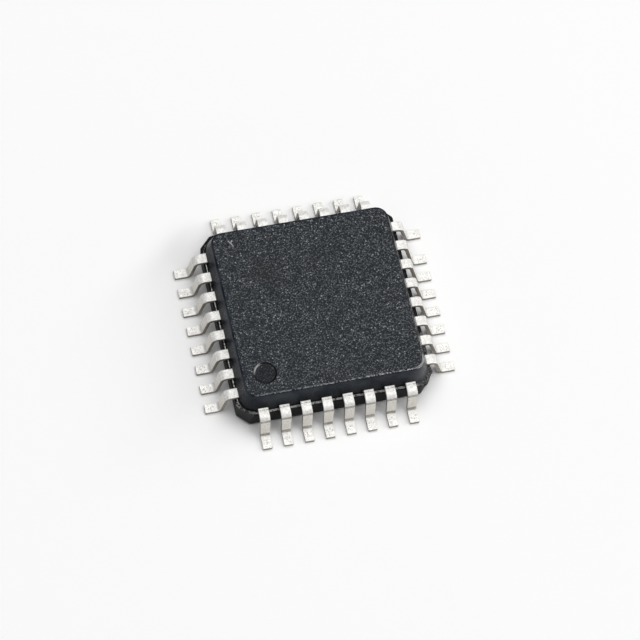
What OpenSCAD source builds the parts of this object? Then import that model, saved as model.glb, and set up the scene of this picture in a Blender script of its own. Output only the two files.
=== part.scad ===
// Driver chip in a quad flat pack: a moulded body with gull-wing leads on all four sides.
// Millimetres. +Z is up, and the origin is the centre of the seating plane under the feet.
// Lead 1 stands at the front left corner, by the round dimple, and the count runs anticlockwise.

/* [Moulded body] */
// Distance from the centre of a row's last lead to the side of the upper mould half
edge_margin = 0.83; // [0.7:0.01:1.2]
// Height of the upper mould half above the parting plane
upper_h = 0.85; // [0.7:0.01:1.2]
// Height of the lower mould half below the parting plane
lower_h = 0.93; // [0.7:0.01:1.2]
// Gap between the underside of the body and the seating plane
standoff = 0.10; // [0.05:0.01:0.3]
// Draft angle of the upper walls
upper_draft = 17; // [5:0.5:18]
// Draft angle of the lower walls
lower_draft = 2; // [1:0.5:8]
// Radius of the upper half's corners at the parting plane
corner_r = 0.68; // [0.5:0.01:0.9]
// Ledge by which the lower half stands out past the upper half
ledge = 0.10; // [0.03:0.01:0.14]
// Leg of the chamfers on the lower half's corners
corner_chamfer = 0.46; // [0.2:0.01:0.5]

/* [Marks in the mould] */
// Diameter of the dimple that marks lead 1
dimple_d = 0.86; // [0.5:0.01:1.2]
// Depth of that dimple
dimple_depth = 0.05; // [0.02:0.01:0.15]
// Distance from the sides of the top face to the dimple's centre
dimple_inset = 0.87; // [0.7:0.01:1.4]
// Width of the broken mould gate at the front right corner
gate_w = 0.34; // [0.2:0.01:0.45]
// Height of the broken gate, down from the parting plane
gate_h = 0.42; // [0.2:0.01:0.6]
// How far the broken gate stands out of the corner
gate_out = 0.07; // [0.03:0.01:0.15]

/* [Leads outside] */
// Leads on each side
leads_per_side = 8; // [4:1:12]
// Distance between neighbouring leads
pitch = 0.8; // [0.65:0.05:1.0]
// Thickness of the lead frame
lead_t = 0.15; // [0.1:0.01:0.2]
// Width of a lead at its shoulder
shoulder_w = 0.38; // [0.3:0.01:0.44]
// Width of a lead at its foot
foot_w = 0.35; // [0.28:0.01:0.42]
// Flat length of the shoulder outside the upper wall
shoulder_len = 0.22; // [0.16:0.01:0.5]
// Flat length of the foot
foot_len = 0.42; // [0.3:0.01:0.7]
// Inside radius of both bends
bend_r = 0.12; // [0.08:0.01:0.2]
// Angle of the leg off the vertical
leg_slant = 10; // [4:1:16]

/* [Knocked row on the right] */
// Angle of the legs off the vertical in that row, whose feet stay in line with the opposite row
knocked_slant = 16; // [4:1:18]
// Sideways shift of the foot that was knocked furthest
knock_shift = 0.27; // [0:0.01:0.3]
// How fast the shift fades along the row
knock_fade = 1.6; // [1:0.1:3]

/* [Lead fingers inside] */
// Distance between neighbouring finger tips
tip_pitch = 0.40; // [0.36:0.01:0.46]
// Width of a finger tip
tip_w = 0.20; // [0.14:0.01:0.24]
// Straight length of a finger tip
tip_land = 0.25; // [0.15:0.01:0.4]
// Gap between a finger tip and the die pad
tip_gap = 0.22; // [0.1:0.01:0.3]
// Straight length of a finger inside the upper wall
finger_root = 0.10; // [0.05:0.01:0.14]

/* [Die pad and die] */
// Distance from a row's last finger tip to the side of the die pad
pad_margin = 0.30; // [0.28:0.01:0.45]
// How far the die pad is set down below the leads
pad_downset = 0.20; // [0.1:0.01:0.4]
// Width of the tie bars that hold the die pad at its corners
tie_w = 0.26; // [0.16:0.01:0.3]
// Flat length of a tie bar beside the die pad
tie_flat = 0.15; // [0.08:0.01:0.3]
// Length of the sloping part of a tie bar
tie_ramp = 0.35; // [0.2:0.01:0.6]
// Resin left over the end of a tie bar at the upper half's corner
tie_cover = 0.12; // [0.08:0.01:0.2]
// Thickness of the adhesive under the die
attach_t = 0.03; // [0.02:0.01:0.06]
// Border of adhesive round the die
attach_border = 0.06; // [0.02:0.01:0.12]
// Thickness of the die
die_t = 0.28; // [0.15:0.01:0.35]
// Distance between neighbouring bond pads on the die
bond_pitch = 0.28; // [0.2:0.01:0.32]
// Distance from a row's last bond pad to the side of the die
die_margin = 0.22; // [0.12:0.01:0.3]
// Distance from the side of the die to the bond pads
bond_inset = 0.12; // [0.08:0.01:0.2]

/* [Bond wires] */
// Diameter of a bond wire
wire_d = 0.03; // [0.02:0.005:0.05]
// Diameter of the ball at the die end
ball_d = 0.075; // [0.055:0.005:0.1]
// Height of the ball at the die end
ball_h = 0.02; // [0.01:0.005:0.03]
// Height of a wire loop above the die
loop_h = 0.18; // [0.1:0.01:0.25]
// Distance from the ball to the top of its loop, along the wire's run
loop_reach = 0.24; // [0.15:0.01:0.5]

/* [Hidden] */
lead_total = 4 * leads_per_side;
function lead_name(k) = str("lead_", k < 10 ? "0" : "", k);

resin = "#2b2d31";
tin = "#d6d3cb";
copper = "#b8784a";
adhesive = "#9a9a98";
silicon = "#5a5f6c";
gold = "#d9b24a";

round_fn = 64;
bend_steps = 8;
wire_sides = 6;
quarter = 90;
// How far shapes run past the faces that they cut or join
over = 0.1;

// Heights of the parting plane, the lead frame and the body
part_z = standoff + lower_h;
lead_top = part_z + lead_t;
body_top = part_z + upper_h;
pad_z = part_z - pad_downset;
attach_z = pad_z + lead_t;
die_z = attach_z + attach_t;
die_top = die_z + die_t;

// Half widths across the body, the die pad and the die
function row_half(spacing) = (leads_per_side - 1) / 2 * spacing;
body_half = row_half(pitch) + edge_margin;
top_half = body_half - upper_h * tan(upper_draft);
lower_half_w = body_half + ledge;
pad_half = row_half(tip_pitch) + pad_margin;
die_half = row_half(bond_pitch) + die_margin;
tip_y = pad_half + tip_gap;

// Distances from the centre to the corner faces, along the diagonals
function chamfer_reach(half, leg) = (2 * half - leg) / sqrt(2);
lower_reach = chamfer_reach(lower_half_w, corner_chamfer);
upper_reach = (body_half - corner_r) * sqrt(2) + corner_r;
pad_chamfer = tie_w / sqrt(2);
pad_reach = chamfer_reach(pad_half, pad_chamfer);

// Place of lead i of a row, and of its finger tip and bond pad, along the row
function along(i, spacing) = (i - (leads_per_side - 1) / 2) * spacing;

// Sideways shift of foot i in the knocked row: greatest at the last lead but one, none at the last
function knocked(i) =
    i == leads_per_side - 1 ? 0 : -knock_shift * pow(i / (leads_per_side - 2), knock_fade);

// Distances out from the upper wall to the two bends of a lead and to its toe
outer_r = bend_r + lead_t;
both_r = bend_r + outer_r;
function leg_drop(slant) = part_z - both_r * (1 - sin(slant));
function bends_run(slant) = both_r * cos(slant) + leg_drop(slant) * tan(slant);
lower_bend_u = shoulder_len + bends_run(leg_slant);
toe_u = lower_bend_u + foot_len;
function upper_bend_u(slant) = lower_bend_u - bends_run(slant);

// Gull-wing section of a lead from the middle of its shoulder, as distance outwards and height
function upper_arc(slant, r, turns) =
    [for (a = turns) [upper_bend_u(slant) + r * sin(a), part_z - bend_r + r * cos(a)]];
function lower_arc(r, turns) =
    [for (a = turns) [lower_bend_u - r * sin(a), outer_r - r * cos(a)]];
function wing_section(slant) =
    let (
        step = (quarter - slant) / bend_steps,
        turns = [for (k = [0 : bend_steps]) k * step],
        turns_back = [for (k = [bend_steps : -1 : 0]) k * step],
        start_u = upper_bend_u(slant) / 2
    )
    concat(
        [[start_u, lead_top]],
        upper_arc(slant, outer_r, turns),
        lower_arc(bend_r, turns_back),
        [[toe_u, lead_t], [toe_u, 0]],
        lower_arc(outer_r, turns),
        upper_arc(slant, bend_r, turns_back),
        [[start_u, part_z]]
    );

// A bar along X whose two long sides lean in from one half width at its foot to another at its top
module leaning_bar(half_len, low_half, high_half, h) {
    rotate([90, 0, 90])
        linear_extrude(2 * half_len, center = true)
            polygon([[-low_half, 0], [low_half, 0], [high_half, h], [-high_half, h]]);
}

// A square plate with chamfered corners
module chamfered_plate(half, leg, h) {
    inner = half - leg;
    linear_extrude(h)
        polygon([
            [half, -inner], [half, inner], [inner, half], [-inner, half],
            [-half, inner], [-half, -inner], [-inner, -half], [inner, -half]
        ]);
}

// Upper mould half: leaning walls that meet in conical corners
module upper_half() {
    lean = body_half - top_half;
    corner = body_half - corner_r;
    translate([0, 0, part_z]) {
        for (turn = [0, 1])
            rotate(quarter * turn)
                leaning_bar(corner, body_half, top_half, upper_h);
        for (turn = [0 : 3])
            rotate(quarter * turn)
                translate([corner, corner, 0])
                    rotate_extrude(angle = quarter, $fn = round_fn)
                        polygon([[0, 0], [corner_r, 0], [corner_r - lean, upper_h], [0, upper_h]]);
    }
}

// Lower mould half: steeper walls and flat chamfered corners
module lower_half() {
    lean = lower_h * tan(lower_draft);
    translate([0, 0, standoff])
        intersection_for(turn = [0 : 3])
            rotate(quarter / 2 * turn) {
                half = turn % 2 == 0 ? lower_half_w : lower_reach;
                leaning_bar(2 * body_half, half - lean, half, lower_h);
            }
}

// Stump of resin where the moulding was broken off its gate
module gate_stump() {
    rotate(-quarter / 2)
        translate([lower_reach, 0, part_z - gate_h])
            linear_extrude(gate_h)
                polygon([
                    [-over, -gate_w / 2], [0, -gate_w / 2], [gate_out, -gate_w / 4],
                    [gate_out / 2, gate_w / 4], [0, gate_w / 2], [-over, gate_w / 2]
                ]);
}

module dimple() {
    place = top_half - dimple_inset;
    translate([-place, -place, body_top - dimple_depth])
        cylinder(h = dimple_depth + over, d = dimple_d, $fn = round_fn);
}

module package_body() {
    color(resin)
        difference() {
            union() {
                upper_half();
                lower_half();
                gate_stump();
            }
            dimple();
            for (k = [1 : lead_total])
                on_side(k) lead_plate(row_place(k), row_slant(k));
            pad_and_ties();
            adhesive_layer();
            die_block();
            wire_loops();
        }
}

// Turns a shape drawn on the front side to the side that lead k stands on
module on_side(k) {
    rotate(quarter * side_of(k))
        children();
}
function side_of(k) = floor((k - 1) / leads_per_side);
function row_place(k) = (k - 1) % leads_per_side;
function in_knocked_row(k) = side_of(k) == 1;
function row_slant(k) = in_knocked_row(k) ? knocked_slant : leg_slant;

// Flat part of a lead: the shoulder outside the wall and the finger that fans in to the die pad
module lead_plate(i, slant) {
    x = along(i, pitch);
    tip_x = along(i, tip_pitch);
    out_y = -body_half - upper_bend_u(slant);
    root_y = -body_half + finger_root;
    land_y = -tip_y - tip_land;
    translate([0, 0, part_z])
        linear_extrude(lead_t)
            polygon([
                [x - shoulder_w / 2, out_y], [x + shoulder_w / 2, out_y],
                [x + shoulder_w / 2, root_y], [tip_x + tip_w / 2, land_y],
                [tip_x + tip_w / 2, -tip_y], [tip_x - tip_w / 2, -tip_y],
                [tip_x - tip_w / 2, land_y], [x - shoulder_w / 2, root_y]
            ]);
}

// Formed part of a lead: bend, leg, bend and foot, with the foot moved sideways by shift
module lead_wing(i, slant, shift) {
    lean_end = lead_t + bend_r;
    translate([along(i, pitch), -body_half, 0])
        intersection() {
            rotate([90, 0, -90])
                linear_extrude(2 * (shoulder_w + abs(shift)), center = true)
                    polygon(wing_section(slant));
            rotate([90, 0, 0])
                linear_extrude(toe_u + over)
                    polygon([
                        [shoulder_w / 2, lead_top + over], [-shoulder_w / 2, lead_top + over],
                        [-shoulder_w / 2, part_z], [shift - foot_w / 2, lean_end],
                        [shift - foot_w / 2, -over], [shift + foot_w / 2, -over],
                        [shift + foot_w / 2, lean_end], [shoulder_w / 2, part_z]
                    ]);
        }
}

module lead(k) {
    i = row_place(k);
    slant = row_slant(k);
    color(tin)
        on_side(k) {
            lead_plate(i, slant);
            lead_wing(i, slant, in_knocked_row(k) ? knocked(i) : 0);
        }
}

// Die pad, set down below the leads, with a tie bar up to each corner of the body
module pad_and_ties() {
    ramp_u = pad_reach + tie_flat;
    level_u = ramp_u + tie_ramp;
    end_u = upper_reach - tie_cover;
    translate([0, 0, pad_z]) {
        chamfered_plate(pad_half, pad_chamfer, lead_t);
        for (turn = [0 : 3])
            rotate(quarter * turn + quarter / 2)
                rotate([90, 0, 0])
                    linear_extrude(tie_w, center = true)
                        polygon([
                            [pad_reach, 0], [ramp_u, 0], [level_u, pad_downset], [end_u, pad_downset],
                            [end_u, pad_downset + lead_t], [level_u, pad_downset + lead_t],
                            [ramp_u, lead_t], [pad_reach, lead_t]
                        ]);
    }
}

module die_pad() {
    color(copper) pad_and_ties();
}

module adhesive_layer() {
    side = 2 * (die_half + attach_border);
    translate([-side / 2, -side / 2, attach_z])
        cube([side, side, attach_t]);
}

module die_attach() {
    color(adhesive) adhesive_layer();
}

module die_block() {
    translate([-die_half, -die_half, die_z])
        cube([2 * die_half, 2 * die_half, die_t]);
}

module silicon_die() {
    color(silicon) die_block();
}

// Route of wire i of a row: up from its ball, over the loop's peak and down to the finger tip
function wire_route(i) =
    let (
        foot = [along(i, bond_pitch), bond_inset - die_half, die_top],
        stitch = [along(i, tip_pitch), -tip_y - tip_land / 2, lead_top],
        run = [stitch.x - foot.x, stitch.y - foot.y, 0],
        up = [0, 0, 1]
    )
    [
        foot,
        foot + ball_h * up,
        foot + 2 * ball_h * up,
        foot + loop_reach * unit(run) + loop_h * up,
        stitch
    ];
wire_radius = [ball_d / 2, ball_d / 2, wire_d / 2, wire_d / 2, wire_d / 2];

function unit(v) = v / norm(v);

// Direction that each section of the wire faces, level at both ends
function wire_facing(route, k) =
    k < 3 ? [0, 0, 1]
    : k == 4 ? [0, 0, -1]
    : unit(unit(route[3] - route[2]) + unit(route[4] - route[3]));

// A wire as a tube with one section at each point of its route
module wire_loop(i) {
    route = wire_route(i);
    last = len(route) - 1;
    run = route[last] - route[0];
    across = unit([-run.y, run.x, 0]);
    points = [
        for (k = [0 : last], s = [0 : wire_sides - 1])
            let (
                turn = 360 * s / wire_sides,
                rise = cross(wire_facing(route, k), across)
            )
            route[k] + wire_radius[k] * (cos(turn) * across + sin(turn) * rise)
    ];
    sides = [
        for (k = [0 : last - 1], s = [0 : wire_sides - 1])
            let (
                next = (s + 1) % wire_sides,
                ring = k * wire_sides,
                ring_up = ring + wire_sides
            )
            [ring + s, ring_up + s, ring_up + next, ring + next]
    ];
    ball_end = [for (s = [0 : wire_sides - 1]) s];
    stitch_end = [for (s = [wire_sides - 1 : -1 : 0]) last * wire_sides + s];
    polyhedron(points, concat([ball_end], sides, [stitch_end]));
}

module wire_loops() {
    for (k = [1 : lead_total])
        on_side(k) wire_loop(row_place(k));
}

module bond_wires() {
    color(gold) wire_loops();
}

package_body();
die_pad();
die_attach();
silicon_die();
bond_wires();
for (k = [1 : lead_total])
    lead(k);
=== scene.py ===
"""Looks of a driver chip in a quad flat pack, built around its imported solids."""
import math
import random

import bmesh
import bpy
from mathutils import Matrix, Vector, geometry, noise


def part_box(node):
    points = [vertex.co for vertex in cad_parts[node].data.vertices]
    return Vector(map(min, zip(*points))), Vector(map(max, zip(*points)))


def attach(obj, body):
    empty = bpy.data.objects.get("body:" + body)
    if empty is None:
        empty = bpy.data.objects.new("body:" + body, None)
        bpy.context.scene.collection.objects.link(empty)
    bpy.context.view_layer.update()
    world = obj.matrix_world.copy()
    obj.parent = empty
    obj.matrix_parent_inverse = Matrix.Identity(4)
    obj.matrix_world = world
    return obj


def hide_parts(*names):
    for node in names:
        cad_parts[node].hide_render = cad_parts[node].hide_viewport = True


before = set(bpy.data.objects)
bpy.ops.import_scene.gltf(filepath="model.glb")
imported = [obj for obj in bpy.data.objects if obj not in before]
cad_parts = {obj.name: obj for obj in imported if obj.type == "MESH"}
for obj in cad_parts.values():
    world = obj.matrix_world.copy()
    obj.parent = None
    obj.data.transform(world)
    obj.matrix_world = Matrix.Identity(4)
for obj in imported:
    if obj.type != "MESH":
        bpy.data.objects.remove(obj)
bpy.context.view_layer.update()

# Lengths in this script are millimetres, and meshes are scaled to metres when they are made
MM = 0.001

# Seed of the noise that moves points, without which every run would have its own
NOISE_SEED = 7
noise.seed_set(NOISE_SEED)

# Sides count anticlockwise from the front one
SIDES = 4
RIGHT = 1

# Lead frame
LEADS_PER_SIDE = 8
PITCH = 0.8
LEAD_T = 0.15
SHOULDER_W = 0.38
FOOT_W = 0.35
SHOULDER_LEN = 0.22
BEND_R = 0.12
OUTER_R = BEND_R + LEAD_T
MID_R = BEND_R + LEAD_T / 2
LEG_SLANT = math.radians(10)
KNOCKED_SLANT = math.radians(16)
KNOCK_SHIFT = 0.27
KNOCK_FADE = 1.6
TIP_PITCH = 0.40
TIP_W = 0.20
TIP_LAND = 0.25
TIP_Y = 1.92
FINGER_ROOT = 0.10
LEAD_EDGE_R = 0.016
TOE_INSET = LEAD_EDGE_R * 0.7
LEAD_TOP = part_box("lead_01")[1].z / MM
TOE_OUT = -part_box("lead_01")[0].y / MM

# Moulded body
EDGE_MARGIN = 0.83
ROW_HALF = (LEADS_PER_SIDE - 1) / 2 * PITCH
BODY_HALF = ROW_HALF + EDGE_MARGIN
UPPER_DRAFT = math.radians(16.2)
LOWER_DRAFT = math.radians(2)
CORNER_R = 0.68
CORNER_CENTRE = BODY_HALF - CORNER_R
LEDGE = 0.10
CHAMFER = 0.46
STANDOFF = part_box("package_body")[0].z / MM
BODY_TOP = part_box("package_body")[1].z / MM
PART_Z = LEAD_TOP - LEAD_T
BEVEL_RUN = 0.065
BEVEL_SLOPE = math.radians(30)
LOW_EDGE_R = 0.03

# Marks on the body
WORN_BEVEL_RUN = 0.10
WORN_CORNER = Vector((3.24, -3.24))
WORN_REACH = 0.45
WORN_SHARE = 0.8
DIMPLE = Vector((-2.52, -2.51))
DIMPLE_R = 0.405
DIMPLE_DEPTH = 0.042
DIMPLE_SLOPE = 0.073
GATE_CORNER = Vector((3.5, -3.5))
GATE_W = 0.34
GATE_H = 0.42
GATE_OUT = 0.07
GATE_ROOT = 0.06
GATE_SIDE_RISE = 4
GATE_END_RISE = 6
GATE_END_BULGE = 0.3
FLAKE_REACH = 0.6
FLAKE_OUT = 0.14
TORN_EDGE = 0.1
SCAR_END_Y = -1.6
FLASHED_CORNER = Vector((-3.5, -3.5))
FLASHED_REACH = 0.42
FLASHED_DROP = 0.12
SCRATCH_FORK = Vector((-2.68, 2.91))
SCRATCH_ENDS = (Vector((-2.76, 3.00)), Vector((-2.60, 3.01)), Vector((-2.61, 2.76)))
SCRATCH_HALF = 0.015

# Roughness of the resin and the leads: heights, scales as bumps to the millimetre, and how it changes
COARSE_GRAIN_H = 0.008
COARSE_GRAIN_SCALE = 12
FINE_GRAIN_H = 0.005
FINE_GRAIN_SCALE = 25
DIMPLE_GRAIN = 0.3
RIM_H = 0.004
FRONT_RIM_H = 0.016
RIM_SCALE = 11
RIM_FADE = 0.8
LEDGE_H = 0.012
LEDGE_SCALE = 9
TORN_GAIN = 4
FLAKE_SCALE = 8
GATE_BUMP_H = 0.014
GATE_SCALE = 11
LIP_START = -0.06
LIP_END = 0.01
LIP_H = 0.012
LIP_SCALE = 9
DENT_H = 0.004
COINED_DENT_H = 0.009
DENT_SCALE = 11
FINE_DENT_SCALE = 23
FINE_DENT_SHARE = 0.5
DENT_SINK = 0.3
DENT_EDGE_POWER = 4

# Mesh fineness
SIDE_POINTS = 180
CORNER_SHARE = 0.14
CORNER_SOFTENING = 2
BEVEL_SHARES = (0.0, 0.1, 0.4, 0.7, 0.92, 1.0)
WALL_SHARES = (0.03, 0.2, 0.4, 0.6, 0.8, 1.0)
LOWER_STEPS = 6
GRAIN_PITCH = 0.031
GRAIN_JITTER = 0.3
GRAIN_SEED = 7
DIMPLE_POINTS = 96
DIMPLE_SHARES = (0.0, 0.08, 0.5, 0.92, 1.0)
GATE_COLUMNS = 14
GATE_ROWS = 16
SHOULDER_STEPS = 14
BEND_STEPS = 12
LEG_STEPS = 6
FOOT_STEPS = 14
WIDTH_STEPS = 9
EDGE_POINTS = 4
FOOT_BORDER = 2
SHARP_ANGLE = math.radians(50)

# Material indices on the body and on the leads
GRAIN, DIMPLED, SATIN, BEVEL, WORN, FLASH, LOWER, SCAR, SCUFF = range(9)
TIN, FLANK, COINED = range(3)

# Where a material changes along an axis or from a place, as the start and the end, and by what share
RUBBED = Vector((-1.76, 1.60, BODY_TOP))
RUB_FADE = (0.8, 0.2)
RUB_SHARE = 0.3
# Painted highlight on the wall by the front right corner: its centre, fade and share
PAINTED_SHEEN_CENTRE = (GATE_CORNER.x, GATE_CORNER.y, PART_Z + 0.3)
PAINTED_SHEEN_FADE = (0.85, 0.25)
PAINTED_SHEEN_SHARE = 0.7
# Painted shade at the wall's foot: heights where it starts and where it is full
WALL_SHADE_FADE = (BODY_TOP - 0.25, PART_Z + 0.1)
# Painted light on the rim's grains, from the left to the right
RIM_PAINTED_LIGHT_FADE = (-1.5, 1.5)
FLASH_FADE = (PART_Z - 0.16, PART_Z - 0.04)
CORNER_FADE = (2.95, 3.25)
FRONT_FADE = (-3.2, -3.6)
SCAR_FADE = (PART_Z - 0.3, PART_Z)
# Rows where the painted shade across the bends is full, and its share on the other rows
BEND_SHADE_ROWS = (ROW_HALF + 0.4, ROW_HALF + 0.8)
FAINT_BEND_SHADE = 0.3

# Bands of a material along an axis: from, to and the width of the soft border, and the share of one
WORN_SPAN = (-2.9, 2.9, 0.25)
# Painted shade and reflection across the upper and lower bends of the leads
UPPER_BEND_SHADE = (1.00, 1.05, 0.035)
LOWER_BEND_SHADE = (0.19, 0.29, 0.025)
BLEED_LINE = (-BODY_HALF - 0.055, -BODY_HALF - 0.035, 0.015)
# Painted reflection: the band of the legs that takes a warm colour, and its share
LEG_REFLECTION_BAND = (0.32, 0.94, 0.06)
LEG_REFLECTION_SHARE = 0.6

# Range that most values of a noise texture lie in
NOISE_SPAN = (0.3, 0.7)

# Colours of the resin
TOP_DARK = (0.005, 0.0078, 0.0105, 1)
TOP_PALE = (0.034, 0.040, 0.047, 1)
# Speckle is pale grain and painted glitter in one; glint is a painted highlight
TOP_SPECKLE_AND_GLITTER = (0.20, 0.21, 0.223, 1)
TOP_PAINTED_GLINT = (0.43, 0.44, 0.45, 1)
TOP_RUBBED = (0.022, 0.019, 0.018, 1)
WALL_DARK = (0.008, 0.012, 0.020, 1)
WALL_PALE = (0.034, 0.041, 0.051, 1)
# Painted shade towards the wall's foot
WALL_PAINTED_FOOT_SHADE = (0.002, 0.0025, 0.0035, 1)
# Painted highlight on the wall by the front right corner
WALL_PAINTED_SHEEN = (0.12, 0.126, 0.132, 1)
EDGE_DARK = (0.0008, 0.001, 0.0016, 1)
EDGE_PALE = (0.0025, 0.003, 0.004, 1)
# Lower half, darkened to nearly black as painted shade under the ledge
LOWER_DARK = (0.002, 0.0024, 0.003, 1)
LOWER_PALE = (0.008, 0.0085, 0.010, 1)
RIM_DARK = (0.004, 0.005, 0.007, 1)
RIM_GRAIN_LEFT = (0.19, 0.21, 0.23, 1)
# Painted light: the rim's grains are paler to the right
RIM_GRAIN_RIGHT_PAINTED_LIGHT = (0.36, 0.39, 0.42, 1)
# Painted shade below the ledge
FLASH_FOOT_SHADE = (0.003, 0.0035, 0.004, 1)
FLASH_SKIN = (0.02, 0.021, 0.022, 1)
# Painted light: the flash grains along the left, far paler than along the front
FLASH_GRAIN_LEFT_PAINTED_LIGHT = (0.90, 0.90, 0.88, 1)
FLASH_GRAIN_FRONT = (0.36, 0.36, 0.355, 1)
SCAR_DARK = (0.010, 0.0095, 0.010, 1)
SCAR_PALE = (0.21, 0.20, 0.196, 1)
SCUFF_DARK = (0.20, 0.20, 0.20, 1)
SCUFF_PALE = (0.55, 0.55, 0.545, 1)

# Colours of the metals, the silicon and the floor
TIN_DULL = (0.78, 0.77, 0.735, 1)
TIN_BRIGHT = (0.97, 0.965, 0.94, 1)
# Painted reflection: warm colour of the legs
TIN_LEG_REFLECTION = (0.93, 0.885, 0.81, 1)
TIN_SPOT = (0.32, 0.305, 0.265, 1)
# Brown of the resin bleed by the wall, and of the painted shade across the bends
TIN_BLEED_AND_BEND_SHADE = (0.24, 0.215, 0.175, 1)
# Copper of the cut toe, and painted shade on the lead's sides
CUT_AND_SHADE_DARK = (0.22, 0.20, 0.165, 1)
CUT_AND_SHADE_PALE = (0.40, 0.375, 0.335, 1)
COPPER_DARK = (0.52, 0.25, 0.13, 1)
COPPER_PALE = (0.72, 0.40, 0.24, 1)
ADHESIVE_DARK = (0.30, 0.30, 0.29, 1)
ADHESIVE_FLAKE = (0.62, 0.62, 0.61, 1)
SILICON_DARK = (0.07, 0.085, 0.12, 1)
SILICON_PALE = (0.12, 0.14, 0.18, 1)
GOLD_DARK = (0.72, 0.50, 0.16, 1)
GOLD_PALE = (0.88, 0.66, 0.27, 1)
FLOOR_THROWN = (0.6, 0.59, 0.57, 1)
FLOOR_SEEN = (0.99, 0.99, 0.99, 1)
WHITE = (1, 1, 1, 1)

# Stage
FLOOR_HALF = 400
HORIZON_FADE = (0.0, 0.35)
DEPTH_FADE = (0.2, 0.8)

# Camera, fitted to the photo
CAM_AZIMUTH = math.radians(-22.34)
CAM_ELEVATION = math.radians(65.04)
CAM_ROLL = math.radians(10.66)
CAM_DISTANCE = 130.6
CAM_AIM = (0.248, 0.055)
CAM_NEAREST = 1
CAM_FARTHEST = 10000
PIXELS_PER_MM = 26.57
IMAGE_SIDE = 640
SENSOR = 36.0


# Meshes

def loft(bm, rings):
    """Skins closed rings of vertices that have the same count, and returns the faces of each band."""
    bands = []
    for low, high in zip(rings, rings[1:]):
        count = len(low)
        band = []
        for i in range(count):
            j = (i + 1) % count
            face = bm.faces.new((low[i], low[j], high[j], high[i]))
            face.smooth = True
            band.append(face)
        bands.append(band)
    return bands


def roughened(point, height, scale):
    """A point moved by noise of a given height, with scale bumps to the millimetre."""
    return point + height * noise.noise_vector(point * scale)


def to_piece(bm, name, materials, slot, *nodes):
    """Makes a mesh in millimetres a piece of the object that stands for some nodes."""
    bmesh.ops.recalc_face_normals(bm, faces=bm.faces)
    bmesh.ops.scale(bm, vec=(MM, MM, MM), verts=bm.verts)
    mesh = bpy.data.meshes.new(name)
    bm.to_mesh(mesh)
    bm.free()
    mesh.set_sharp_from_angle(angle=SHARP_ANGLE)
    for material in materials:
        mesh.materials.append(material)
    piece = bpy.data.objects.new(name, mesh)
    bpy.context.scene.collection.objects.link(piece)
    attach(piece, "root")
    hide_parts(*nodes)


# Moulded body

def side_point(t, half, cut, rounded):
    """Point on the front side of a square ring with cut corners, for t from -1 to 1."""
    straight = 1 - CORNER_SHARE
    share = abs(t)
    along, out = share / straight * (half - cut), half
    if share > straight:
        turn = (share - straight) / CORNER_SHARE
        if rounded:
            along = half - cut + cut * math.sin(turn * math.pi / 4)
            out = half - cut + cut * math.cos(turn * math.pi / 4)
        else:
            along = half - cut + turn * cut / 2
            out = half - turn * cut / 2
    return math.copysign(along, t), -out


def square_ring(half, cut, z, rounded):
    """Points of a whole ring, anticlockwise from the middle of the front left corner."""
    points = []
    for side in range(SIDES):
        turn = Matrix.Rotation(side * math.pi / 2, 3, "Z")
        for i in range(SIDE_POINTS):
            x, y = side_point(2 * i / SIDE_POINTS - 1, half, cut, rounded)
            points.append(turn @ Vector((x, y, z)))
    return points


def upper_ring(half, z):
    """Ring of the upper half, whose round corners keep their centres."""
    return square_ring(half, half - CORNER_CENTRE, z, True)


def softened(points, reach):
    """A ring whose points are each the mean of themselves and reach neighbours on both sides."""
    count = len(points)
    ring = []
    for i in range(count):
        near = [points[(i + k) % count] for k in range(-reach, reach + 1)]
        ring.append(sum(near, Vector()) / len(near))
    return ring


def lower_ring(half, z):
    """Ring of the lower half, with its cut corners a little rounded."""
    cut = CHAMFER - (2 - math.sqrt(2)) * (BODY_HALF + LEDGE - half)
    return softened(square_ring(half, cut, z, False), CORNER_SOFTENING)


def upper_wall(z):
    """Half width of the upper half at a height."""
    return BODY_HALF - (z - PART_Z) * math.tan(UPPER_DRAFT)


def lower_wall(z):
    """Half width of the lower half at a height."""
    return BODY_HALF + LEDGE - (PART_Z - z) * math.tan(LOWER_DRAFT)


def top_grain(x, y):
    """Height of the spark-eroded grain on the top face."""
    point = Vector((x, y, 0))
    coarse = COARSE_GRAIN_H * noise.noise(point * COARSE_GRAIN_SCALE)
    fine = FINE_GRAIN_H * noise.noise(point * FINE_GRAIN_SCALE)
    return coarse + fine


def dimple_rings():
    """Radius and depth of the circles that shape the dimple's sloping wall, from its lip inwards."""
    return [(DIMPLE_R + DIMPLE_SLOPE * (0.5 - share), DIMPLE_DEPTH * share) for share in DIMPLE_SHARES]


def near_scratch(point):
    """Whether a point of the top face lies on the forked scratch."""
    for end in SCRATCH_ENDS:
        share = geometry.intersect_point_line(point, SCRATCH_FORK, end)[1]
        nearest = SCRATCH_FORK.lerp(end, max(0.0, min(1.0, share)))
        if (point - nearest).length < SCRATCH_HALF:
            return True
    return False


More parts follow.
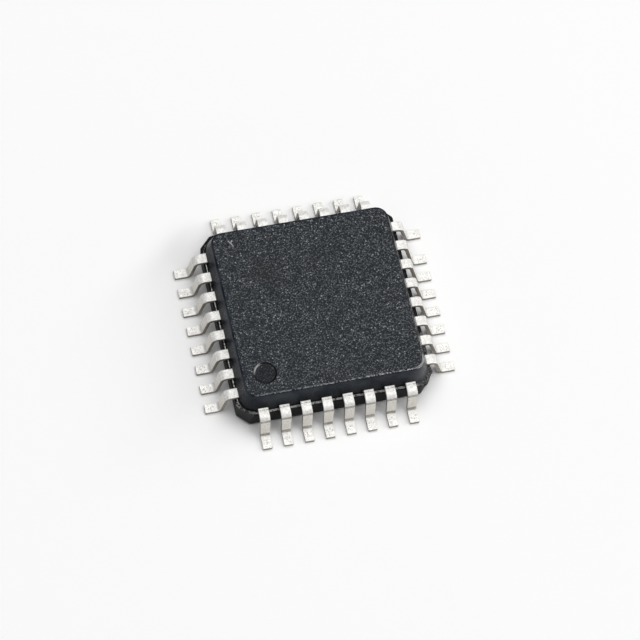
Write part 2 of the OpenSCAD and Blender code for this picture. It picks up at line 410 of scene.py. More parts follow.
def grain_points(reach):
    """Scattered points of the top face and of the dimple's floor, as places and heights."""
    draw = random.Random(GRAIN_SEED)
    steps = int(2 * reach / GRAIN_PITCH)
    clear = (DIMPLE_SLOPE + GRAIN_PITCH) / 2
    for i in range(steps):
        for j in range(steps):
            x = -reach + (i + 0.5 + draw.uniform(-GRAIN_JITTER, GRAIN_JITTER)) * GRAIN_PITCH
            y = -reach + (j + 0.5 + draw.uniform(-GRAIN_JITTER, GRAIN_JITTER)) * GRAIN_PITCH
            past_corner = Vector((max(abs(x) - CORNER_CENTRE, 0), max(abs(y) - CORNER_CENTRE, 0)))
            if past_corner.length > reach - CORNER_CENTRE - GRAIN_PITCH / 2:
                continue
            from_dimple = (Vector((x, y)) - DIMPLE).length
            if from_dimple > DIMPLE_R + clear:
                yield Vector((x, y)), BODY_TOP + top_grain(x, y)
            elif from_dimple < DIMPLE_R - clear:
                yield Vector((x, y)), BODY_TOP - DIMPLE_DEPTH + DIMPLE_GRAIN * top_grain(x, y)


def triangulated(points, border_count):
    """Triangles inside the outline that the first points make, and the point that each corner was."""
    inside_outline, merge_distance = 1, 1e-7
    outline = [list(range(border_count))]
    found = geometry.delaunay_2d_cdt(points, [], outline, inside_outline, merge_distance)
    places, _, triangles, origins, _, _ = found
    return places, triangles, [origin[0] for origin in origins]


def top_face(bm, border):
    """Grained top face inside a border of vertices, with the dimple by lead 1."""
    points = [vertex.co.xy for vertex in border]
    heights = [vertex.co.z for vertex in border]
    for radius, depth in dimple_rings():
        for i in range(DIMPLE_POINTS):
            turn = 2 * math.pi * i / DIMPLE_POINTS
            points.append(DIMPLE + radius * Vector((math.cos(turn), math.sin(turn))))
            heights.append(BODY_TOP - depth)
    for place, height in grain_points(max(vertex.co.x for vertex in border)):
        points.append(place)
        heights.append(height)
    places, triangles, firsts = triangulated(points, len(border))
    vertices = []
    for place, first in zip(places, firsts):
        on_border = first < len(border)
        vertices.append(border[first] if on_border else bm.verts.new((*place, heights[first])))
    for triangle in triangles:
        face = bm.faces.new([vertices[i] for i in triangle])
        face.smooth = True
        centre = face.calc_center_median().xy
        from_dimple = (centre - DIMPLE).length
        face.material_index = GRAIN
        if from_dimple < DIMPLE_R - DIMPLE_SLOPE / 2:
            face.material_index = DIMPLED
        elif from_dimple < DIMPLE_R + DIMPLE_SLOPE / 2:
            face.material_index = BEVEL
        elif near_scratch(centre):
            face.material_index = SCUFF


def torn(point):
    """How much a point lies among the torn flakes by the gate, from 0 to 1."""
    return max(0.0, 1 - (point.xy - GATE_CORNER).length / FLAKE_REACH)


def ledge_point(point):
    """A point of the ledge: rough along the front and left, and standing out in flakes by the gate."""
    outwards = Vector((1, -1, 0)).normalized()
    flake = FLAKE_OUT * torn(point) * abs(noise.noise(point * FLAKE_SCALE))
    height = LEDGE_H * (1 + TORN_GAIN * torn(point))
    if point.x + point.y > BODY_HALF / 2:
        height = RIM_H
    return roughened(point, height, LEDGE_SCALE) + flake * outwards


def bevel_ring(share, run):
    """Ring at a share of the way down a bevel of a given run round the top face."""
    end_z = BODY_TOP - run * math.tan(BEVEL_SLOPE)
    return upper_ring(upper_wall(end_z) - run * (1 - share), BODY_TOP + (end_z - BODY_TOP) * share)


def rim_ring(share):
    """Ring of the bevel as it is: ragged along the front, and worn wider at the front right corner."""
    points = []
    for narrow, wide in zip(bevel_ring(share, BEVEL_RUN), bevel_ring(share, WORN_BEVEL_RUN)):
        point = narrow.lerp(wide, max(0.0, 1 - (narrow.xy - WORN_CORNER).length / WORN_REACH))
        ragged = point.y < -CORNER_CENTRE and abs(point.x) < CORNER_CENTRE
        height = FRONT_RIM_H if ragged else RIM_H
        points.append(roughened(point, (1 - RIM_FADE * share) * height, RIM_SCALE))
    return points


def body_rings():
    """Rings of the body from the top face's border down, each with the materials of its band by side."""
    rings = []
    for share in BEVEL_SHARES:
        front = WORN if share < WORN_SHARE else BEVEL
        rings.append((rim_ring(share), [front, BEVEL, SATIN, SATIN]))
    bevel_end_z = BODY_TOP - BEVEL_RUN * math.tan(BEVEL_SLOPE)
    for share in WALL_SHARES:
        z = bevel_end_z + (PART_Z - bevel_end_z) * share
        rings.append((upper_ring(upper_wall(z), z), SIDES * [SATIN]))
    inner = rings[-1][0]
    outer = lower_ring(lower_wall(PART_Z) - LOW_EDGE_R / 2, PART_Z)
    # Share of the way out over the ledge, and the materials up to there on the four sides
    ledge_bands = (
        (0.3, [FLASH, SCAR, LOWER, FLASH]),
        (0.65, [FLASH, SCAR, LOWER, LOWER]),
        (1.0, [FLASH, SCAR, LOWER, LOWER]),
    )
    for share, materials in ledge_bands:
        between = [a.lerp(b, share) for a, b in zip(inner, outer)]
        rings.append(([ledge_point(point) for point in between], materials))
    low_top, low_end = PART_Z - LOW_EDGE_R, STANDOFF + LOW_EDGE_R
    for k in range(LOWER_STEPS + 1):
        z = low_top + (low_end - low_top) * k / LOWER_STEPS
        rings.append((lower_ring(lower_wall(z), z), SIDES * [LOWER]))
    rings.append((lower_ring(lower_wall(STANDOFF) - LOW_EDGE_R, STANDOFF), SIDES * [LOWER]))
    return rings


def gate_stump(bm):
    """Broken stump of resin that stands out of the front right corner."""
    reach = (2 * lower_wall(PART_Z) - CHAMFER) / math.sqrt(2)
    turn = Matrix.Rotation(-math.pi / 4, 3, "Z")
    rings = []
    for j in range(GATE_ROWS + 1):
        z = PART_Z - GATE_H * j / GATE_ROWS
        from_end = min(j, GATE_ROWS - j) / GATE_ROWS
        outline = [(reach - GATE_ROOT, GATE_W / 2), (reach - GATE_ROOT, -GATE_W / 2)]
        for i in range(GATE_COLUMNS + 1):
            share = i / GATE_COLUMNS
            from_side = min(share, 1 - share)
            bulge = min(1.0, GATE_SIDE_RISE * from_side, GATE_END_BULGE + GATE_END_RISE * from_end)
            outline.append((reach + GATE_OUT * bulge * (1 - share / 2), (share - 0.5) * GATE_W))
        places = [turn @ Vector((out, across, z)) for out, across in outline]
        rings.append([bm.verts.new(roughened(place, GATE_BUMP_H, GATE_SCALE)) for place in places])
    faces = [face for band in loft(bm, rings) for face in band]
    faces += [bm.faces.new(rings[0]), bm.faces.new(rings[-1])]
    for face in faces:
        face.material_index = SCAR


def make_body(materials):
    """Resin body: its skin from the top face's border down, its top face and the gate's stump."""
    bm = bmesh.new()
    rings = body_rings()
    skins = [[bm.verts.new(point) for point in ring] for ring, _ in rings]
    for band, (_, sides) in zip(loft(bm, skins), rings[1:]):
        for i, face in enumerate(band):
            face.material_index = sides[i // SIDE_POINTS]
            centre = face.calc_center_median()
            from_flashed = (centre.xy - FLASHED_CORNER).length
            by_gate = torn(centre) > TORN_EDGE and centre.z > PART_Z - LOW_EDGE_R
            flashed = from_flashed < FLASHED_REACH and centre.z > PART_Z - FLASHED_DROP
            if face.material_index == LOWER and (by_gate or flashed):
                face.material_index = FLASH
            elif face.material_index == SCAR and centre.y > SCAR_END_Y:
                face.material_index = LOWER
    top_face(bm, skins[0])
    bm.faces.new(skins[-1]).material_index = LOWER
    gate_stump(bm)
    to_piece(bm, "resin_body", materials, "mould_compound", "package_body")


# Leads

def leg_drop(slant):
    """Height of the straight leg between the two bends."""
    return PART_Z - (BEND_R + OUTER_R) * (1 - math.sin(slant))


def bends_run(slant):
    """Distance outwards over both bends and the leg."""
    return (BEND_R + OUTER_R) * math.cos(slant) + leg_drop(slant) * math.tan(slant)


# Places on a lead, as distances out of the wall, and the height at which the foot begins
LOWER_BEND_U = SHOULDER_LEN + bends_run(LEG_SLANT)
TOE_U = TOE_OUT - BODY_HALF
TIP_U = TIP_Y - BODY_HALF
LAND_U = TIP_U + TIP_LAND
FOOT_BEND_Z = LEAD_T + BEND_R


def lead_stations(slant):
    """Middle line of a lead from finger tip to toe: distance out of the wall, height and slope."""
    mid_z = PART_Z + LEAD_T / 2
    bend_u = LOWER_BEND_U - bends_run(slant)
    flat = [TIP_U, LAND_U, -FINGER_ROOT]
    flat += [LIP_START + (bend_u - LIP_START) * k / SHOULDER_STEPS for k in range(SHOULDER_STEPS)]
    stations = [(u, mid_z, 0.0) for u in flat]
    turns = [(math.pi / 2 - slant) * k / BEND_STEPS for k in range(BEND_STEPS + 1)]
    upper = [(bend_u + MID_R * math.sin(a), PART_Z - BEND_R + MID_R * math.cos(a), a) for a in turns]
    lower = [(LOWER_BEND_U - MID_R * math.sin(a), OUTER_R - MID_R * math.cos(a), a) for a in turns]
    lower.reverse()
    leg_top, leg_end = Vector(upper[-1]), Vector(lower[0])
    stations += upper
    stations += [tuple(leg_top.lerp(leg_end, k / LEG_STEPS)) for k in range(1, LEG_STEPS)]
    stations += lower
    foot_len = TOE_U - LEAD_EDGE_R - LOWER_BEND_U
    foot = [LOWER_BEND_U + foot_len * k / FOOT_STEPS for k in range(1, FOOT_STEPS + 1)]
    return stations + [(u, LEAD_T / 2, 0.0) for u in foot]


def lead_profile():
    """Section of a lead, clockwise: share of the half width, and offsets sideways and across."""
    level = LEAD_T / 2 - LEAD_EDGE_R
    points = []
    for corner, (side, face) in enumerate(((1, 1), (1, -1), (-1, -1), (-1, 1))):
        for k in range(EDGE_POINTS):
            turn = math.pi / 2 * (1 - corner - k / (EDGE_POINTS - 1))
            points.append((side, LEAD_EDGE_R * math.cos(turn), face * level + LEAD_EDGE_R * math.sin(turn)))
        if corner % 2:
            runs = [side * (1 - 2 * k / WIDTH_STEPS) for k in range(1, WIDTH_STEPS)]
            points += [(share, 0.0, face * LEAD_T / 2) for share in runs]
    return points


def lead_width(i, shift, u, z):
    """Sideways place of a lead's middle and its half width at a point of the lead."""
    place = i - (LEADS_PER_SIDE - 1) / 2
    x, tip_x = place * PITCH, place * TIP_PITCH
    if u < -FINGER_ROOT:
        share = min(1.0, (u + FINGER_ROOT) / (LAND_U + FINGER_ROOT))
        return x + (tip_x - x) * share, (SHOULDER_W + (TIP_W - SHOULDER_W) * share) / 2
    share = max(0.0, min(1.0, (PART_Z - z) / (PART_Z - FOOT_BEND_Z)))
    return x + shift * share, (SHOULDER_W + (FOOT_W - SHOULDER_W) * share) / 2


def lead_texture(point, u, across):
    """Height of the marks in a lead's top: a ragged lip by the wall, faint dents, and a coined foot."""
    if u < LIP_END:
        return LIP_H * max(0.0, noise.noise(point * LIP_SCALE))
    height = COINED_DENT_H if u > LOWER_BEND_U else DENT_H
    edge = max(0.0, 1 - across ** DENT_EDGE_POWER)
    dents = noise.noise(point * DENT_SCALE) + FINE_DENT_SHARE * noise.noise(point * FINE_DENT_SCALE)
    return height * edge * (dents - DENT_SINK)


def lead_ring(bm, station, i, shift, turn, inset=0.0):
    """Vertices of a lead's section at one station, drawn in by inset."""
    u, z, slope = station
    vertices = []
    for share, sideways, across in lead_profile():
        across *= 1 - 2 * inset / LEAD_T
        point_z = z + across * math.cos(slope)
        middle, half = lead_width(i, shift, u, point_z)
        x = middle + share * (half - LEAD_EDGE_R - inset) + sideways
        point = turn @ Vector((x, -BODY_HALF - u - across * math.sin(slope), point_z))
        if across > LEAD_T / 2 - LEAD_EDGE_R and u >= LIP_START:
            dent = lead_texture(point, u, share)
            point += turn @ Vector((0, -math.sin(slope), math.cos(slope))) * dent
        vertices.append(bm.verts.new(point))
    return vertices


def knocked(i):
    """Sideways shift of foot i in the row on the right, greatest at the last lead but one."""
    last = LEADS_PER_SIDE - 1
    return 0.0 if i == last else -KNOCK_SHIFT * (i / (last - 1)) ** KNOCK_FADE


def make_lead(number, materials):
    """One lead by its number, counted anticlockwise from the left end of the front row."""
    side, i = divmod(number - 1, LEADS_PER_SIDE)
    shift, slant = (knocked(i), KNOCKED_SLANT) if side == RIGHT else (0.0, LEG_SLANT)
    turn = Matrix.Rotation(side * math.pi / 2, 3, "Z")
    bm = bmesh.new()
    rings = [lead_ring(bm, station, i, shift, turn) for station in lead_stations(slant)]
    rings.append(lead_ring(bm, (TOE_U, LEAD_T / 2, 0.0), i, shift, turn, TOE_INSET))
    flanks = (EDGE_POINTS - 1, 3 * EDGE_POINTS - 1 + WIDTH_STEPS - 1)
    first_top = flanks[1] + EDGE_POINTS
    bands = loft(bm, rings)
    for band in bands:
        for column in flanks:
            band[column].material_index = FLANK
    for band in bands[FOOT_BORDER - FOOT_STEPS - 1:-FOOT_BORDER - 1]:
        for column in range(first_top + 1, first_top + WIDTH_STEPS - 1):
            band[column].material_index = COINED
    bm.faces.new(rings[0]).material_index = TIN
    bm.faces.new(rings[-1]).material_index = FLANK
    name = "lead_%02d" % number
    to_piece(bm, "tinned_" + name, materials, "tin_plated_lead", name)


# Shader nodes

# Sockets of a Mix node by what it mixes: the share, the first, the second and the result
MIX_SOCKETS = {"RGBA": (0, 6, 7, 2), "FLOAT": (0, 2, 3, 0)}


def add_node(tree, kind, inputs=None, **settings):
    """A shader node with its settings, and its inputs set to values or linked to sockets."""
    made = tree.nodes.new(kind)
    for name, value in settings.items():
        setattr(made, name, value)
    for name, value in (inputs or {}).items():
        if isinstance(value, bpy.types.NodeSocket):
            tree.links.new(value, made.inputs[name])
        else:
            made.inputs[name].default_value = value
    return made


def new_material(name):
    """An empty material with its node tree, and the surface coordinates in millimetres."""
    material = bpy.data.materials.new(name)
    material.use_nodes = True
    tree = material.node_tree
    tree.nodes.clear()
    place = add_node(tree, "ShaderNodeTexCoord").outputs["Object"]
    scale = (1 / MM, 1 / MM, 1 / MM)
    coords = add_node(tree, "ShaderNodeVectorMath", {0: place, 1: scale}, operation="MULTIPLY")
    return material, tree, coords.outputs["Vector"]


def noise_of(tree, coords, scale, detail=2.0, roughness=0.5):
    """Cloudy noise with scale clouds to the millimetre."""
    inputs = {"Vector": coords, "Scale": scale, "Detail": detail, "Roughness": roughness}
    return add_node(tree, "ShaderNodeTexNoise", inputs).outputs["Fac"]


def ramp(tree, value, low, high, start=0.0, end=1.0):
    """A value carried from the range low to high over to the range start to end."""
    inputs = {"Value": value, "From Min": low, "From Max": high, "To Min": start, "To Max": end}
    return add_node(tree, "ShaderNodeMapRange", inputs).outputs["Result"]


def spread(tree, texture, start, end):
    """A noise texture carried over to the range start to end."""
    return ramp(tree, texture, *NOISE_SPAN, start, end)


def blend(tree, share, first, second, kind="RGBA"):
    """Two colours, or two numbers, mixed by a share."""
    share_at, first_at, second_at, result_at = MIX_SOCKETS[kind]
    inputs = {share_at: share, first_at: first, second_at: second}
    return add_node(tree, "ShaderNodeMix", inputs, data_type=kind).outputs[result_at]


def maths(tree, operation, first, second=0.0):
    """One or two numbers put through an operation of the Math node."""
    return add_node(tree, "ShaderNodeMath", {0: first, 1: second}, operation=operation).outputs[0]


def product(tree, first, second):
    """Two numbers multiplied."""
    return maths(tree, "MULTIPLY", first, second)


def within(tree, value, low, high, soft):
    """1 where a value lies between low and high, fading to 0 over a soft border outside them."""
    return product(tree, ramp(tree, value, low - soft, low), ramp(tree, value, high + soft, high))


def axes_of(tree, coords):
    """Coordinates along the three axes."""
    axes = add_node(tree, "ShaderNodeSeparateXYZ", {"Vector": coords}).outputs
    return axes["X"], axes["Y"], axes["Z"]


def distance(tree, coords, place):
    """Distance of the surface from a place."""
    measure = add_node(tree, "ShaderNodeVectorMath", {0: coords, 1: place}, operation="DISTANCE")
    return measure.outputs["Value"]


def surface(tree, inputs, height=None, depth=0.0, strength=0.0):
    """Principled surface, with bumps of a given depth in millimetres where height is given."""
    if height is not None:
        bump = {"Height": height, "Distance": depth * MM, "Strength": strength}
        inputs = dict(inputs, Normal=add_node(tree, "ShaderNodeBump", bump).outputs["Normal"])
    shader = add_node(tree, "ShaderNodeBsdfPrincipled", inputs)
    add_node(tree, "ShaderNodeOutputMaterial", {"Surface": shader.outputs["BSDF"]})


def specks(tree, coords, scale, rarity):
    """Small bright specks: round cells, seen from above, of which the rarer ones show most."""
    inputs = {"Vector": coords, "Scale": scale, "Randomness": 1.0}
    cells = add_node(tree, "ShaderNodeTexVoronoi", inputs, voronoi_dimensions="2D")
    chance = add_node(tree, "ShaderNodeSeparateColor", {"Color": cells.outputs["Color"]}).outputs["Red"]
    chosen = ramp(tree, chance, low=rarity, high=1.0)
    near = ramp(tree, cells.outputs["Distance"], low=0.5, high=0.1)
    return product(tree, chosen, near)


# Materials

def grained_resin(name, share):
    """Dark resin with a share of a dense fine speckle, which is pale grain and painted glitter, and of a
    few brighter glints, which are painted highlights.
    """
    material, tree, coords = new_material(name)
    grain = noise_of(tree, coords, scale=16.0, detail=1.5, roughness=0.6)
    rubbed = ramp(tree, distance(tree, coords, RUBBED), *RUB_FADE)
    # Painted light: the speckle is pale grain and painted glitter, and the glints are painted highlights,
    # as bright dots in the base colour
    speckle = product(tree, specks(tree, coords, scale=17.0, rarity=0.3), share)
    glints = product(tree, specks(tree, coords, scale=15.0, rarity=0.92), share)
    pale = product(tree, ramp(tree, grain, low=0.38, high=0.68), share)
    base = blend(tree, pale, TOP_DARK, TOP_PALE)
    base = blend(tree, speckle, base, TOP_SPECKLE_AND_GLITTER)
    base = blend(tree, glints, base, TOP_PAINTED_GLINT)
    base = blend(tree, product(tree, rubbed, RUB_SHARE), base, TOP_RUBBED)
    rough = spread(tree, grain, start=0.5, end=0.7)
    inputs = {"Base Color": base, "Roughness": rough, "Specular IOR Level": 0.15}
    surface(tree, inputs, grain, depth=0.010, strength=0.6)
    return material


def satin_resin():
    """Moulded wall: smooth and bluish, darkened towards its foot as painted shade, and paler by the gate as
    a painted highlight.
    """
    material, tree, coords = new_material("resin_satin_wall")
    _, _, z = axes_of(tree, coords)
    # Painted highlight: a pale patch on the wall by the front right corner stands in for the light from the
    # right
    painted_sheen = ramp(tree, distance(tree, coords, PAINTED_SHEEN_CENTRE), *PAINTED_SHEEN_FADE, 0.0, PAINTED_SHEEN_SHARE)
    cloud = ramp(tree, noise_of(tree, coords, scale=1.5), low=0.35, high=0.65)
    fine = noise_of(tree, coords, scale=30.0)
    base = blend(tree, cloud, WALL_DARK, WALL_PALE)
    # Painted shade: the wall darkens towards its foot, above the ledge
    base = blend(tree, ramp(tree, z, *WALL_SHADE_FADE), base, WALL_PAINTED_FOOT_SHADE)
    base = blend(tree, painted_sheen, base, WALL_PAINTED_SHEEN)
    rough = spread(tree, fine, start=0.22, end=0.3)
    inputs = {"Base Color": base, "Roughness": rough, "Specular IOR Level": 0.1}
    surface(tree, inputs, fine, depth=0.002, strength=0.3)
    return material


def smooth_edge():
    """Bevel round the top face and wall of the dimple: dark and smooth."""
    material, tree, coords = new_material("resin_smooth_edge")
    cloud = noise_of(tree, coords, scale=5.0)
    base = blend(tree, cloud, EDGE_DARK, EDGE_PALE)
    rough = spread(tree, cloud, start=0.17, end=0.22)
    inputs = {"Base Color": base, "Roughness": rough, "Specular IOR Level": 0.75}
    surface(tree, inputs, cloud, depth=0.001, strength=0.3)
    return material


def lower_resin():
    """Lower half: matte, and darkened to nearly black as painted shade under the ledge."""
    material, tree, coords = new_material("resin_lower_half_painted_shade")
    cloud = noise_of(tree, coords, scale=2.4, detail=3.0)
    base = blend(tree, cloud, LOWER_DARK, LOWER_PALE)
    inputs = {"Base Color": base, "Roughness": 0.5, "Specular IOR Level": 0.1}
    surface(tree, inputs, cloud, depth=0.006, strength=0.3)
    return material


def worn_rim_and_painted_glints():
    """Bevel along the front, with pale grains rubbed out of it except at the corners, which are wear and
    painted highlights in one, paler to the right.
    """
    material, tree, coords = new_material("resin_worn_rim")
    x, _, _ = axes_of(tree, coords)
    texture = noise_of(tree, coords, scale=13.0, detail=3.0, roughness=0.65)
    grains = ramp(tree, texture, low=0.42, high=0.6)
    worn = product(tree, grains, within(tree, x, *WORN_SPAN))
    # Painted light: the grains are paler to the right, where the light comes from
    tint = blend(tree, ramp(tree, x, *RIM_PAINTED_LIGHT_FADE), RIM_GRAIN_LEFT, RIM_GRAIN_RIGHT_PAINTED_LIGHT)
    base = blend(tree, worn, RIM_DARK, tint)
    inputs = {"Base Color": base, "Roughness": 0.2, "Specular IOR Level": 0.75}
    surface(tree, inputs, worn, depth=0.008, strength=0.5)
    return material


def flash_resin():
    """Rough skin of the ledge: grainy along the front, pale along the left as painted light where the ledge
    lies in shade, darker at the corners, and near black below the ledge as painted shade.
    """
    material, tree, coords = new_material("resin_flash")
    x, y, z = axes_of(tree, coords)
    on_ledge = ramp(tree, z, *FLASH_FADE)
    nearest = maths(tree, "MINIMUM", maths(tree, "ABSOLUTE", x), maths(tree, "ABSOLUTE", y))
    corner = ramp(tree, nearest, *CORNER_FADE)
    broken = noise_of(tree, coords, scale=13.0, detail=3.0, roughness=0.7)
    along = ramp(tree, broken, low=0.40, high=0.56)
    round_corner = ramp(tree, broken, low=0.50, high=0.68, end=0.4)
    pale = blend(tree, corner, along, round_corner, "FLOAT")
    # Painted light: the grains along the left are far paler than along the front, where the ledge lies in
    # shade
    grain = blend(tree, ramp(tree, y, *FRONT_FADE), FLASH_GRAIN_LEFT_PAINTED_LIGHT, FLASH_GRAIN_FRONT)
    # Painted shade: the skin turns near black below the ledge
    skin = blend(tree, on_ledge, FLASH_FOOT_SHADE, FLASH_SKIN)
    base = blend(tree, product(tree, pale, on_ledge), skin, grain)
    inputs = {"Base Color": base, "Roughness": 0.65, "Specular IOR Level": 0.25}
    surface(tree, inputs, broken, depth=0.02, strength=0.6)
    return material


def gate_scar():
    """Broken resin of the gate: pale grains by the ledge, fewer further down the stump."""
    material, tree, coords = new_material("resin_gate_scar")
    _, _, z = axes_of(tree, coords)
    broken = noise_of(tree, coords, scale=13.0, detail=4.0, roughness=0.7)
    grains = ramp(tree, broken, low=0.42, high=0.68)
    pale = product(tree, grains, ramp(tree, z, *SCAR_FADE, start=0.2))
    base = blend(tree, pale, SCAR_DARK, SCAR_PALE)
    inputs = {"Base Color": base, "Roughness": 0.75, "Specular IOR Level": 0.25}
    surface(tree, inputs, broken, depth=0.02, strength=0.7)
    return material


def scuffed_resin():
    """Resin laid bare by the scratch: pale and rough."""
    material, tree, coords = new_material("resin_scuffed")
    broken = noise_of(tree, coords, scale=18.0)
    base = blend(tree, broken, SCUFF_DARK, SCUFF_PALE)
    surface(tree, {"Base Color": base, "Roughness": 0.7}, broken, depth=0.01, strength=0.5)
    return material


def matte_tin(name, specked):
    """Tin plating: mottled, with a share of dark specks, a broken brown line of bleed by the wall along the
    front, brown lines across the bends that are painted shade and reflection, faint left and right, and a
    warm painted reflection on the legs.
    """
    material, tree, coords = new_material(name)
    _, y, z = axes_of(tree, coords)
    mottle = noise_of(tree, coords, scale=10.0, detail=3.0, roughness=0.6)
    fine = noise_of(tree, coords, scale=24.0)
    spots = ramp(tree, noise_of(tree, coords, scale=19.0), low=0.51, high=0.65, end=specked)
    # Painted shade and reflection: brown lines across the bends, full on the front and back rows and faint
    # on the others
    bends = maths(tree, "MAXIMUM", within(tree, z, *UPPER_BEND_SHADE), within(tree, z, *LOWER_BEND_SHADE))
    lines = product(tree, bends, ramp(tree, mottle, low=0.35, high=0.6, start=0.4, end=0.9))
    lines = product(tree, lines, ramp(tree, maths(tree, "ABSOLUTE", y), *BEND_SHADE_ROWS, FAINT_BEND_SHADE))
    broken = ramp(tree, fine, low=0.42, high=0.58, end=0.9)
    bleed = product(tree, within(tree, y, *BLEED_LINE), broken)
    lines = maths(tree, "MAXIMUM", lines, bleed)
    # Painted reflection: the sloping legs take a warm beige colour
    leg = product(tree, within(tree, z, *LEG_REFLECTION_BAND), LEG_REFLECTION_SHARE)
    base = blend(tree, ramp(tree, mottle, low=0.35, high=0.65), TIN_DULL, TIN_BRIGHT)
    base = blend(tree, leg, base, TIN_LEG_REFLECTION)
    base = blend(tree, spots, base, TIN_SPOT)
    base = blend(tree, lines, base, TIN_BLEED_AND_BEND_SHADE)
    rough = spread(tree, mottle, start=0.5, end=0.36)
    inputs = {"Base Color": base, "Metallic": 0.2, "Roughness": rough}
    surface(tree, inputs, fine, depth=0.004, strength=0.5)
    return material


def lead_flank():
    """Toe and sides of a lead: dull copper shows at the cut toe, and the plated sides take the same brown
    as painted shade and reflection.
    """
    material, tree, coords = new_material("lead_cut_side")
    mottle = noise_of(tree, coords, scale=9.0, detail=3.0)
    # Painted shade: the plated sides are coloured as dark as the bare copper of the toe
    base = blend(tree, mottle, CUT_AND_SHADE_DARK, CUT_AND_SHADE_PALE)
    inputs = {"Base Color": base, "Metallic": 0.5, "Roughness": 0.5}
    surface(tree, inputs, mottle, depth=0.006, strength=0.5)
    return material


def frame_copper():
    """Bare copper of the die pad."""
    material, tree, coords = new_material("copper_frame")
    mottle = noise_of(tree, coords, scale=4.0, detail=3.0)
    base = blend(tree, mottle, COPPER_DARK, COPPER_PALE)
    rough = spread(tree, mottle, start=0.35, end=0.55)
    inputs = {"Base Color": base, "Metallic": 1.0, "Roughness": rough}
    surface(tree, inputs, mottle, depth=0.003, strength=0.4)
    return material


def silver_adhesive():
    """Grey adhesive with flakes of silver."""
    material, tree, coords = new_material("adhesive_silver")
    flakes = specks(tree, coords, scale=30.0, rarity=0.3)
    base = blend(tree, flakes, ADHESIVE_DARK, ADHESIVE_FLAKE)
    inputs = {"Base Color": base, "Metallic": 0.4, "Roughness": 0.6}
    surface(tree, inputs, flakes, depth=0.003, strength=0.4)
    return material


def die_silicon():
    """Polished silicon."""
    material, tree, coords = new_material("silicon_die")
    cloud = noise_of(tree, coords, scale=2.5)
    base = blend(tree, cloud, SILICON_DARK, SILICON_PALE)
    rough = spread(tree, cloud, start=0.12, end=0.2)
    surface(tree, {"Base Color": base, "Metallic": 0.6, "Roughness": rough})
    return material


def bond_gold():
    """Drawn gold wire."""
    material, tree, coords = new_material("gold_wire")
    streak = noise_of(tree, coords, scale=20.0)
    base = blend(tree, streak, GOLD_DARK, GOLD_PALE)
    rough = spread(tree, streak, start=0.2, end=0.32)
    surface(tree, {"Base Color": base, "Metallic": 1.0, "Roughness": rough})
    return material


def dress(node, material):
    """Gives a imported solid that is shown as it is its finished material."""
    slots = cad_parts[node].data.materials
    slots.clear()
    slots.append(material)


# Stage

def make_floor():
    """Pale floor: white to what looks straight at it, and greyer in the light that it throws back."""
    half = FLOOR_HALF * MM
    mesh = bpy.data.meshes.new("floor")
    corners = [(-half, -half, 0), (half, -half, 0), (half, half, 0), (-half, half, 0)]
    mesh.from_pydata(corners, [], [(0, 1, 2, 3)])
    floor = bpy.data.objects.new("floor", mesh)
    bpy.context.scene.collection.objects.link(floor)
    material, tree, _ = new_material("floor_white")
    path = add_node(tree, "ShaderNodeLightPath").outputs
    seen = maths(tree, "MAXIMUM", path["Is Camera Ray"], path["Is Glossy Ray"])
    seen = maths(tree, "MAXIMUM", seen, path["Is Transmission Ray"])
    tone = blend(tree, seen, FLOOR_THROWN, FLOOR_SEEN)
    matte = add_node(tree, "ShaderNodeBsdfDiffuse", {"Color": tone})
    add_node(tree, "ShaderNodeOutputMaterial", {"Surface": matte.outputs["BSDF"]})
    mesh.materials.append(material)


def make_softbox(name, place, width, height, radiance, roll=0.0):
    """Softbox at a place in millimetres, turned to the chip, of a given brightness."""
    light = bpy.data.lights.new(name, "AREA")
    light.shape = "RECTANGLE"
    light.size = width * MM
    light.size_y = height * MM
    light.energy = radiance * math.pi * light.size * light.size_y
    lamp = bpy.data.objects.new(name, light)
    lamp.location = Vector(place) * MM
    facing = (-lamp.location).to_track_quat("-Z", "Y").to_matrix()
    lamp.rotation_euler = (facing @ Matrix.Rotation(roll, 3, "Z")).to_euler()
    lamp.visible_camera = False
    bpy.context.scene.collection.objects.link(lamp)


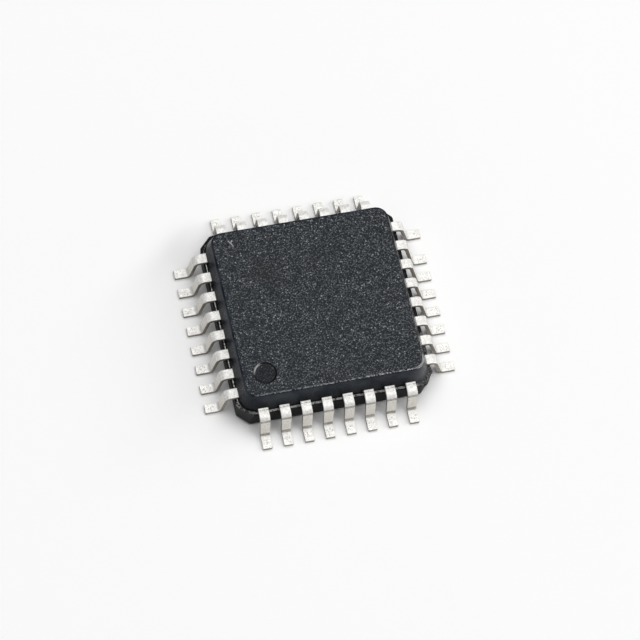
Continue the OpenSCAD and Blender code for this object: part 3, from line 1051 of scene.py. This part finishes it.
def make_world(horizon, zenith, back_share):
    """Pale backdrop that fades from the horizon up, and to a share of its light behind the chip."""
    world = bpy.data.worlds.new("studio")
    world.use_nodes = True
    tree = world.node_tree
    tree.nodes.clear()
    _, depth, height = axes_of(tree, add_node(tree, "ShaderNodeTexCoord").outputs["Generated"])
    glow = ramp(tree, height, *HORIZON_FADE, horizon, zenith)
    glow = product(tree, glow, ramp(tree, depth, *DEPTH_FADE, 1.0, back_share))
    backdrop = add_node(tree, "ShaderNodeBackground", {"Color": WHITE, "Strength": glow})
    add_node(tree, "ShaderNodeOutputWorld", {"Surface": backdrop.outputs["Background"]})
    bpy.context.scene.world = world


def make_camera():
    """Camera that sees the chip as the photo does."""
    out = math.cos(CAM_ELEVATION)
    back = Vector((math.sin(CAM_AZIMUTH) * out, -math.cos(CAM_AZIMUTH) * out, math.sin(CAM_ELEVATION)))
    level = Vector((math.cos(CAM_AZIMUTH), math.sin(CAM_AZIMUTH), 0))
    raised = back.cross(level)
    right = level * math.cos(CAM_ROLL) + raised * math.sin(CAM_ROLL)
    up = raised * math.cos(CAM_ROLL) - level * math.sin(CAM_ROLL)
    data = bpy.data.cameras.new("camera")
    data.sensor_width = SENSOR
    data.lens = PIXELS_PER_MM * CAM_DISTANCE * SENSOR / IMAGE_SIDE
    data.clip_start = CAM_NEAREST * MM
    data.clip_end = CAM_FARTHEST * MM
    camera = bpy.data.objects.new("camera", data)
    place = (CAM_DISTANCE * back + CAM_AIM[0] * right + CAM_AIM[1] * up) * MM
    camera.matrix_world = Matrix.Translation(place) @ Matrix((right, up, back)).transposed().to_4x4()
    bpy.context.scene.collection.objects.link(camera)
    bpy.context.scene.camera = camera


# In the order of the material indices
body_materials = [
    grained_resin("resin_grained_top", share=1.0),
    grained_resin("resin_dimple_floor", share=0.28),
    satin_resin(),
    smooth_edge(),
    worn_rim_and_painted_glints(),
    flash_resin(),
    lower_resin(),
    gate_scar(),
    scuffed_resin(),
]
lead_materials = [
    matte_tin("tin_matte", specked=0.3),
    lead_flank(),
    matte_tin("tin_coined", specked=0.75),
]
make_body(body_materials)
for lead_number in range(1, SIDES * LEADS_PER_SIDE + 1):
    make_lead(lead_number, lead_materials)
dress("die_pad", frame_copper())
dress("die_attach", silver_adhesive())
dress("silicon_die", die_silicon())
dress("bond_wires", bond_gold())

make_floor()
make_world(horizon=0.9, zenith=0.1, back_share=0.3)
make_softbox("overhead", place=(15, 60, 400), width=480, height=420, radiance=2.45)
make_softbox("key", place=(356, -76, 255), width=640, height=50, radiance=8.4, roll=math.radians(-27))
make_camera()
bpy.context.scene.view_settings.view_transform = "Standard"
